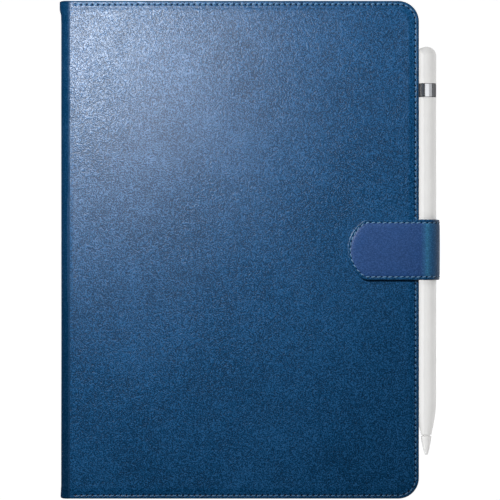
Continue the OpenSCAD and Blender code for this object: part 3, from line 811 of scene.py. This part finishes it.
front_fold = fold_lining("front_fold_lining", True)
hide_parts("spine_lining")
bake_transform(front_fold)
back_fold = fold_lining("back_fold_lining", False)
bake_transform(back_fold)

window_edge = lathe("camera_window_ring", [
    (7.02, 1.2), (6.9, 0.9), (6.88, 0.35), (6.95, 0.12), (7.12, 0.01), (7.45, -0.01), (7.8, 0.03), (8.0, 0.12),
    (8.05, 0.3), (8.05, 1.2), (7.02, 1.2)], (WINDOW[0], WINDOW[1], 0), LEATHER, "back_cover", "Z", 96)


# ---- strap
TONGUE_LOW, TONGUE_HIGH = box_mm("tongue_leather")
STRAP_HIGH = box_mm("strap_side")[1]
NOSE_X, STRAP_TOP = TONGUE_LOW[0], TONGUE_HIGH[2]
STRAP_X = STRAP_HIGH[0] - 0.4
STRAP_W = STRAP_HIGH[1]
STRAP_T = 0.95
TONGUE_T = STRAP_TOP - box_mm("tongue_lining")[0][2]
CREST_R, BEND_R = 7.2, 6.2
CREST = (STRAP_X - CREST_R, STRAP_TOP - CREST_R)
BEND = (STRAP_X - BEND_R, 12.185)
FLAT_LEN = CREST[0] - NOSE_X
CREST_LEN = CREST_R * pi / 2
WALL_LEN = CREST[1] - BEND[1]
BEND_LEN = BEND_R * pi / 4
CUT_AT = FLAT_LEN + CREST_LEN + 2.2    # where the tongue's piece meets the side piece, on the wall
ROOT_AT = FLAT_LEN + CREST_LEN + WALL_LEN + BEND_LEN + 9.8    # where the strap goes under the back cover


def arc_place(centre, r, a):
    """Position and outward normal on an arc of the strap's outer face, as (x, z) pairs."""
    return (centre[0] + r * cos(a), centre[1] + r * sin(a)), (cos(a), sin(a))


def strap_place(s):
    """Position and outward normal on the strap's outer face, s mm from the nose, as (x, z) pairs."""
    if s <= FLAT_LEN:
        return (NOSE_X + s, STRAP_TOP), (0.0, 1.0)
    s -= FLAT_LEN
    if s <= CREST_LEN:
        return arc_place(CREST, CREST_R, pi / 2 - s / CREST_R)
    s -= CREST_LEN
    if s <= WALL_LEN:
        return (STRAP_X, CREST[1] - s), (1.0, 0.0)
    s -= WALL_LEN
    if s <= BEND_LEN:
        return arc_place(BEND, BEND_R, -s / BEND_R)
    (x, z), out = arc_place(BEND, BEND_R, -pi / 4)
    down = (s - BEND_LEN) * out[1]
    return (x + down, z + down), out


def strap_point(s, n, y):
    """A point n mm outside the strap's outer face. Past the root it turns in under the back cover."""
    if s <= ROOT_AT:
        (x, z), (nx, nz) = strap_place(s)
        return (x + nx * n, y, z + nz * n)
    (x, z), (nx, nz) = strap_place(ROOT_AT)
    a = -pi / 4 - min(1.0, (s - ROOT_AT) / 1.8) * pi / 4
    (x, z), (nx, nz) = arc_place((x - nx * 1.5, z - nz * 1.5), 1.5, a)
    return (x - max(0.0, s - ROOT_AT - 1.8) + nx * n, y, z + nz * n)


def strap_thickness(s):
    return TONGUE_T - (TONGUE_T - STRAP_T) * smooth((s - 27.0) / 8.0)


STRAP_EDGE = [
    (4.2, 0.04), (3.2, 0.03), (2.5, 0.0), (2.0, -0.06), (1.72, -0.13), (1.45, -0.18), (1.2, -0.13), (0.95, -0.06),
    (0.7, -0.05), (0.45, -0.09), (0.25, -0.17), (0.1, -0.30), (0.02, -0.45), (0.0, -0.60),
]
STRAP_UNDER = [(0.0, 0.50), (0.04, 0.33), (0.14, 0.17), (0.32, 0.06), (0.6, 0.0), (1.3, 0.0)]
STRAP_SEAM = 1.45
STRAP_SEAM_N = -0.17


def strap_side_leather():
    """The band from inside the back cover's edge, round the stylus, up to the cut on the wall."""
    places = [*np.linspace(CUT_AT, CUT_AT + 1.8, 3), *np.linspace(CUT_AT + 2.4, CUT_AT + 8.0, 12),
              *np.linspace(CUT_AT + 9.5, ROOT_AT - 0.6, 6), *(ROOT_AT + np.array([0.0, 0.6, 1.2, 1.8, 2.8]))]
    section = [(STRAP_W - d, n) for d, n in reversed(STRAP_EDGE)] + [(0.0, 0.06)]
    section += [(d - STRAP_W, n) for d, n in STRAP_EDGE]
    section += [(d - STRAP_W, lift - STRAP_T) for d, lift in STRAP_UNDER]
    section += [(STRAP_W - d, lift - STRAP_T) for d, lift in reversed(STRAP_UNDER)]
    verts = [strap_point(s, n, y) for s in places for y, n in section]
    cols = len(section)
    faces = strip_faces(len(places), cols, closed=True)
    under = 2 * len(STRAP_EDGE) + 1
    slots = [1 if under + 3 <= c < cols - 4 else 0 for c in range(cols)] * (len(places) - 1)
    faces += end_faces(0, len(verts), cols)
    slots += [0, 0]
    obj = make("strap_side_leather", verts, faces, [STRAP_LEATHER, SUEDE], None, 50.0, slots)
    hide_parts("strap_side")
    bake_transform(obj)


class TongueOutline(Outline):
    """The strap from the cut on its wall along the +Y edge, round the nose and back. Its points are (s, y)."""
    nose_r, sweep_r = 6.0, 15.0

    def __init__(self):
        self.centre_y = STRAP_W - self.nose_r
        self.centre_s = self.sweep_r - sqrt((self.sweep_r - self.nose_r) ** 2 - self.centre_y ** 2)
        self.meet = atan2(self.centre_y, self.centre_s - self.sweep_r)
        self.leg = CUT_AT - self.centre_s
        self.turn = (self.nose_r - STRAP_SEAM) * (self.meet - pi / 2)
        sweep = (self.sweep_r - STRAP_SEAM) * (pi - self.meet)
        super().__init__(2 * (self.leg + self.turn + sweep))

    def upper(self, t, d):
        if t <= self.leg:
            return (CUT_AT - t, STRAP_W - d)
        if t <= self.leg + self.turn:
            a, r = pi / 2 + (t - self.leg) / (self.nose_r - STRAP_SEAM), self.nose_r - d
            return (self.centre_s + r * cos(a), self.centre_y + r * sin(a))
        a, r = self.meet + (t - self.leg - self.turn) / (self.sweep_r - STRAP_SEAM), self.sweep_r - d
        return (self.sweep_r + r * cos(a), r * sin(a))


TONGUE = TongueOutline()


def strap_tongue_leather():
    """The tongue with the crest and the top of the wall, one skin round a thin core."""
    hub = 14.0
    deep = TONGUE.row(STRAP_EDGE[0][0])
    fractions = (1.0, 0.85, 0.65, 0.45, 0.25, 0.1)

    def inward(f):
        return [(s if s >= hub else lerp(s, hub, f), y * (1 - f)) for s, y in deep]

    rows = [[(s, 0.04 + 0.05 * f, y) for s, y in inward(f)] for f in fractions]
    for d, n in STRAP_EDGE:
        rows.append([(s, n + needle_dent(k, d - STRAP_SEAM, 0.22, 0.04, 0.34), y)
                     for k, (s, y) in enumerate(TONGUE.row(d))])
    shown = len(rows)
    rows += [[(s, lift - strap_thickness(s), y) for s, y in TONGUE.row(d)] for d, lift in STRAP_UNDER]
    rows += [[(s, -strap_thickness(s), y) for s, y in inward(f)] for f in reversed(fractions)]
    cols = len(rows[0])
    verts = [strap_point(s, n, y) for row in rows for s, n, y in row]
    faces = strip_faces(len(rows), cols)
    rim = len(fractions) + next(k for k, (d, n) in enumerate(STRAP_EDGE) if d <= STRAP_SEAM)
    slots = [1 if r >= shown + 3 else 2 if r >= rim else 0 for r in range(len(rows) - 1) for _ in range(cols - 1)]
    # the cut on the wall: the first and last point of every row, joined across the strap
    for end in (0, cols - 1):
        faces += [(end, r * cols + end, (r + 1) * cols + end) for r in range(1, len(rows) - 1)]
    slots += [0] * (len(faces) - len(slots))
    obj = make("strap_tongue_leather", verts, faces, [STRAP_LEATHER, SUEDE, LEATHER], None, 50.0, slots)
    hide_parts("tongue_leather", "tongue_lining", "tongue_core")
    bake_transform(obj)


def strap_up(s):
    nx, nz = strap_place(min(s, ROOT_AT))[1]
    return (nx, 0.0, nz)


def strap_seams():
    line = TONGUE.row(STRAP_SEAM)[::-1]
    points = [strap_point(s, STRAP_SEAM_N, y) for s, y in line]
    look = dict(width=0.40, slant=0.24, lift=0.08, hole=(0.52, 0.32, -0.10), thread=STRAP_THREAD)
    spots = seam_spots(points, [strap_up(s) for s, y in line])
    obj = stitches("tongue_seam", spots, TONGUE.step * PER_STITCH, outward=0.06, **look)
    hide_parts("tongue_stitching")
    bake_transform(obj)
    both = []
    for side in (1, -1):
        places = np.linspace(CUT_AT, ROOT_AT - 0.5, 30)
        points = [strap_point(s, -0.16, side * (STRAP_W - STRAP_SEAM)) for s in places]
        spots, length = walk(points, [strap_up(s) for s in places], STITCH_PITCH)
        both += spots
    look["hole"] = (0.40, 0.26, 0.02)
    obj = stitches("strap_side_seam", both, length, outward=0.0, **look)
    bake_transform(obj)


strap_side_leather()
strap_tongue_leather()
strap_seams()


# ---- stylus
PEN_LOW, PEN_HIGH = box_mm("stylus_barrel")
CAP_LOW, CAP_HIGH = box_mm("stylus_cap")
TIP_LOW, TIP_HIGH = box_mm("stylus_tip")
PEN = ((PEN_LOW[0] + PEN_HIGH[0]) / 2 + 0.25, 0.0, (PEN_LOW[2] + PEN_HIGH[2]) / 2)
PEN_R = (PEN_HIGH[0] - PEN_LOW[0]) / 2


def stylus():
    """Cap, ring, barrel and tip of the stylus. Gives its four pieces."""
    ring_low, ring_high, top = PEN_HIGH[1] - 0.4, CAP_LOW[1] - 0.4, CAP_HIGH[1]
    joint, end = TIP_HIGH[1] - 0.85, TIP_LOW[1] - 0.8
    quarter = pi / 2
    lip = ((0.0, 0.22), (0.05, 0.10), (0.22, 0.02))
    cap = [(PEN_R * sin(quarter * k / 12), top - 4.1 * (1 - cos(quarter * k / 12))) for k in range(13)]
    cap += [(PEN_R, top - 9.0), *((PEN_R - step, ring_high + gap) for step, gap in lip), (2.0, ring_high)]
    r = PEN_R - 0.03
    ring = [(2.0, ring_high - 0.03), (r - 0.18, ring_high - 0.03), (r - 0.02, ring_high - 0.16), (r, ring_high - 0.5),
            (r, ring_low + 0.5), (r - 0.02, ring_low + 0.16), (r - 0.18, ring_low + 0.03), (2.0, ring_low + 0.03)]
    taper, neck = 15.5, 2.38
    body = [(2.0, ring_low), *((PEN_R - step, ring_low - gap) for step, gap in reversed(lip))]
    body += [(PEN_R, y) for y in np.linspace(ring_low - 4, joint + taper + 1, 12)]
    body += [(neck + (PEN_R - neck) * sin(quarter * k / 14), joint + 0.35 + (taper - 0.35) * k / 14)
             for k in range(14, 0, -1)]
    body += [(neck, joint + 0.32), (neck - 0.06, joint + 0.14), (neck - 0.25, joint + 0.05), (1.2, joint + 0.02)]
    tip = [(1.2, joint - 0.02), (neck - 0.75, joint - 0.04), (neck - 0.75, joint - 0.42), (neck - 0.22, joint - 0.48),
           (neck - 0.06, joint - 0.66), (neck - 0.08, joint - 1.2)]
    tip += [(lerp(neck - 0.08, 0.92, t) + 0.08 * sin(pi * t), lerp(joint - 1.2, end + 0.75, t))
            for t in (k / 8 for k in range(1, 9))]
    tip += [(0.84, end + 0.42), (0.64, end + 0.16), (0.32, end + 0.03), (0.0, end)]
    pieces = []
    for name, node, profile, look, slot, segments in (
            ("stylus_cap_shell", "stylus_cap", cap, WHITE, "white_plastic", 72),
            ("stylus_ring_band", "stylus_ring", ring, CHROME, "ring_chrome", 96),
            ("stylus_barrel_shell", "stylus_barrel", body, WHITE, "white_plastic", 72),
            ("stylus_tip_cone", "stylus_tip", tip, WHITE, "white_plastic", 72)):
        piece = lathe(name, profile, PEN, look, "stylus", segments=segments)
        pieces.append(piece)
        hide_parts(node)
    return pieces


def stylus_band():
    """The elastic loop that grips the stylus. It is sewn to the inside of the strap."""
    inner, outer, half = PEN_R + 0.06, PEN_R + 0.40, box_mm("stylus_loop")[1][1]
    upper = [(inner, half - 0.1), (inner + 0.08, half), (outer - 0.08, half), (outer, half - 0.1)]
    lower = [(r, -y) for r, y in reversed(upper)]
    band = lathe("stylus_band", [lower[-1]] + upper + lower, PEN, ELASTIC, "strap")
    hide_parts("stylus_loop")


stylus_band()
light_stylus(key_light, stylus())


# ---- keyboard
LEGENDS = {
    "function_keys": ["esc"] + ["F%d" % k for k in range(1, 13)],
    "number_keys": list("1234567890-="),
    "backspace_key": ["back"],
    "tab_key": ["tab"],
    "upper_letter_keys": list("QWERTYUIOP[]"),
    "caps_key": ["caps"],
    "home_letter_keys": list("ASDFGHJKL;"),
    "enter_key": ["enter"],
    "left_shift_key": ["shift"],
    "lower_letter_keys": list("ZXCVBNM,./"),
    "right_shift_key": ["shift"],
    "modifier_keys": ["fn", "ctrl", "alt", "sym", "alt"],
    "space_bar": [""],
    "arrow_keys": ["left", "up", "down", "right"],
}
(_, _, KEY_TOP), (_, _, KEY_FOOT) = box_mm("space_bar")
KEY_CORNER = 1.3


def rounded(x0, x1, y0, y1, inset):
    """Outline of a key with round corners, moved in by inset."""
    r = max(0.12, KEY_CORNER - inset)
    x0, x1, y0, y1 = x0 + inset, x1 - inset, y0 + inset, y1 - inset
    out = []
    for cx, cy, start in ((x1 - r, y1 - r, 0), (x0 + r, y1 - r, 90), (x0 + r, y0 + r, 180), (x1 - r, y0 + r, 270)):
        for turn in (0, 22.5, 45, 67.5, 90):
            a = radians(start + turn)
            out.append((cx + r * cos(a), cy + r * sin(a)))
    return out


def islands(obj):
    """Boxes of the separate solids in a CAD node, from +Y to -Y and then from -X to +X."""
    bm = bmesh.new()
    bm.from_mesh(obj.data)
    bmesh.ops.remove_doubles(bm, verts=bm.verts, dist=1e-6)
    left, boxes = set(bm.verts), []
    while left:
        found = [left.pop()]
        for vert in found:    # grows while it is walked
            near = {v for edge in vert.link_edges for v in edge.verts} & left
            left -= near
            found += near
        x, y = (np.array([v.co for v in found]) * 1000)[:, :2].T
        boxes.append((x.min(), x.max(), y.min(), y.max()))
    bm.free()
    return sorted(boxes, key=lambda b: (-round(b[2] + b[3], 1), b[0]))


def keycaps(node):
    """Dished caps with soft edges on the places of a CAD key group, and their printed legends."""
    boxes = islands(frame["nodes"][node])
    verts, faces = [], []
    rings = [(0.0, KEY_FOOT)] + [(inset, KEY_TOP + rise) for inset, rise in (
        (0.0, 0.42), (0.03, 0.28), (0.12, 0.14), (0.28, 0.04), (0.5, 0.0), (0.9, 0.02), (1.6, 0.09), (2.4, 0.13))]
    for x0, x1, y0, y1 in boxes:
        start = len(verts)
        for inset, z in rings:
            verts += [(x, y, z) for x, y in rounded(x0, x1, y0, y1, inset)]
        cols = (len(verts) - start) // len(rings)
        faces += strip_faces(len(rings), cols, start, closed=True)
        faces += end_faces(start, len(verts), cols)
    body = node + "_body"
    caps = make(node + "_caps", verts, faces, [KEY_BLACK], body, 40.0)
    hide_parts(node)
    legend(node, boxes, body)


def text_mesh(text, size):
    """Flat letters as a mesh, centred on 0, in mm."""
    curve = bpy.data.curves.new("legend_text", "FONT")
    curve.body, curve.size, curve.resolution_u = text, mm(size), 3
    curve.align_x = curve.align_y = "CENTER"
    obj = bpy.data.objects.new("legend_text", curve)
    mesh = bpy.data.meshes.new_from_object(obj)
    verts = [(v.co.x * 1000, v.co.y * 1000) for v in mesh.vertices]
    faces = [tuple(p.vertices) for p in mesh.polygons]
    bpy.data.batch_remove([obj, curve, mesh])
    return verts, faces


ARROWS = {"left": (-1, 0), "right": (1, 0), "up": (0, 1), "down": (0, -1)}


def arrow_points(r, u):
    """The points of a small triangle that points along (right, up)."""
    back, side = 0.6, 0.9
    return [(r, u), (-r * back - u * side, -u * back + r * side), (-r * back + u * side, -u * back - r * side)]


def legend(node, boxes, body):
    """Flat printed legends. Seen from below, right on a key is -Y and up is -X."""
    verts, faces = [], []
    for text, (x0, x1, y0, y1) in zip(LEGENDS[node], boxes):
        if not text:
            continue
        cx, cy = (x0 + x1) / 2, (y0 + y1) / 2
        if text in ARROWS:
            pts, tris = arrow_points(*ARROWS[text]), [(0, 1, 2)]
        else:
            pts, tris = text_mesh(text, 5.0 if len(text) == 1 else 2.9)
        start = len(verts)
        z = KEY_TOP - 0.012 + (0.11 if min(x1 - x0, y1 - y0) > 7 else 0.0)
        verts += [(cx - up, cy - right, z) for right, up in pts]
        faces += [tuple(start + i for i in tri) for tri in tris]
    if verts:
        obj = make(node + "_legends", verts, faces, [LEGEND], body, 40.0)


for key_node in LEGENDS:
    keycaps(key_node)


# ---- stand flap seam
def flap_seam():
    low, high = box_mm("flap_covering")
    x0, x1, y1 = low[0] + 3.4, high[0] - 2.6, high[1] - 2.0
    upper = [(x0, y1), (x1 - 2, y1), (x1 - 0.6, y1 - 0.6), (x1, y1 - 2)]
    path = upper + [(x, -y) for x, y in reversed(upper)]
    both = []
    for z, up in ((low[2], -1), (high[2], 1)):
        spots, length = walk([(x, y, z) for x, y in path], [(0, 0, up)] * len(path), STITCH_PITCH * 1.1)
        both += spots
    obj = stitches("flap_seam", both, length, "stand_flap", 0.5, lift=0.04)


flap_seam()


# ---- plain finishes for CAD nodes
def soften(obj, width):
    """Small rounded edges on a CAD node, as modifiers only."""
    obj.modifiers.new("weld", "WELD").merge_threshold = 1e-6
    bevel = obj.modifiers.new("bevel", "BEVEL")
    bevel.width, bevel.segments = mm(width), 2
    bevel.limit_method, bevel.angle_limit = "ANGLE", radians(40.0)
    obj.data.shade_smooth()
    obj.modifiers.new("normals", "WEIGHTED_NORMAL").keep_sharp = True


def listed(*groups):
    """A value for each node name, from (value, names) groups."""
    return {name: value for value, names in groups for name in names.split()}


# width of the rounded edges, in mm
SOFT = listed(
    (0.50, "battery"), (0.35, "flap_covering"), (0.25, "keyboard_frame"), (0.22, "tray_shell"),
    (0.15, "keyboard_base touchpad power_switch"),
    (0.12, "tray_hinge_strip flap_hinge_strip tray_hinge_base screen_bumpers charge_socket"),
    (0.10, "tray_pad front_lining back_lining"), (0.05, "circuit_board"))
# finishes of the CAD nodes that stay in sight. The rest of them are black plastic.
FINISH = listed(
    (BOARD, "back_board front_board flap_board"),
    (SUEDE, "spine_board back_lining front_lining tray_pad"),
    (LEATHER, "strap_anchor tray_hinge_base tray_hinge_strip flap_hinge_strip flap_covering"),
    (STEEL, "stand_magnets catch_magnet flap_magnets tongue_magnet charge_socket housing_screws"),
    (CASE_BLACK, "keyboard_base keyboard_frame key_deck tray_shell"),
    (RUBBER, "key_membrane screen_bumpers"),
    (FOIL, "battery"), (CIRCUIT, "circuit_board"), (LENS, "status_lights"))
for node, obj in frame["nodes"].items():
    obj.data.materials.clear()
    obj.data.materials.append(FINISH.get(node, KEY_BLACK))
    if node in SOFT:
        soften(obj, SOFT[node])

# a broad soft light over the pieces inside the case, which the small key light leaves in deep shade
INSIDE = """back_lining front_lining tray_pad tray_shell keyboard_frame keyboard_base touchpad flap_covering
    tray_hinge_base tray_hinge_strip flap_hinge_strip front_fold_lining back_fold_lining key_deck""".split()
INSIDE += [node + "_caps" for node in LEGENDS]
fill = area_light("inside_fill", (0.25, -0.35, 0.8), (0.0, 0.0, 0.05), (1.1, 1.1), 7.0)
fill.light_linking.receiver_collection = light_set("inside_light_set", [bpy.data.objects[n] for n in INSIDE])
